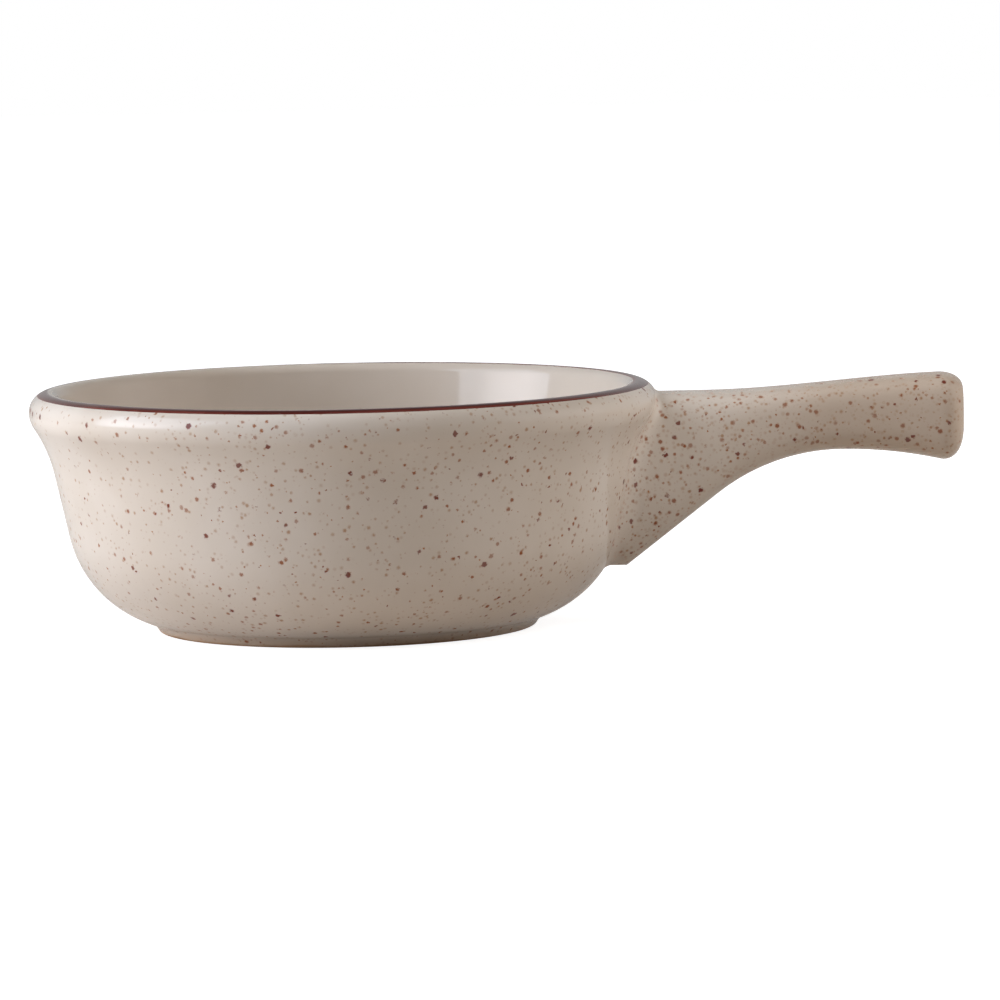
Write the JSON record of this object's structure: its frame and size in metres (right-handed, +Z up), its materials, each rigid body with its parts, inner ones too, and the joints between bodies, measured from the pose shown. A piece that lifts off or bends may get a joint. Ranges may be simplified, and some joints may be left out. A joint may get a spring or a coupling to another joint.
{
  "type": "casserole dish",
  "caption": "Round glazed stoneware casserole dish with a rolled lip, a brown rim line, a low foot ring and a braced stick handle, for baking and serving.",
  "frame": {"origin": "on the bowl's axis, on the plane that the foot stands on", "axes": "+X from the bowl's axis out along the handle, +Z up, +Y across the handle"},
  "size_m": [0.2079, 0.14, 0.0542],
  "materials": {
    "stoneware": "fired stoneware clay",
    "bare_stoneware": "bare fired clay, fine grain",
    "slip": "fired clay slip",
    "speckled_glaze": "glossy cream glaze with brown speckles",
    "plain_glaze": "glossy plain cream glaze",
    "brown_glaze": "glossy reddish brown glaze"
  },
  "bodies": {
    "root": {"bowl": "stoneware", "foot_ring": "bare_stoneware", "handle": "stoneware", "luting_slip": "slip", "outer_glaze": "speckled_glaze", "liner_glaze": "plain_glaze", "rim_band": "brown_glaze", "handle_glaze": "speckled_glaze", "base_glaze": "plain_glaze"}
  },
  "joints": []
}
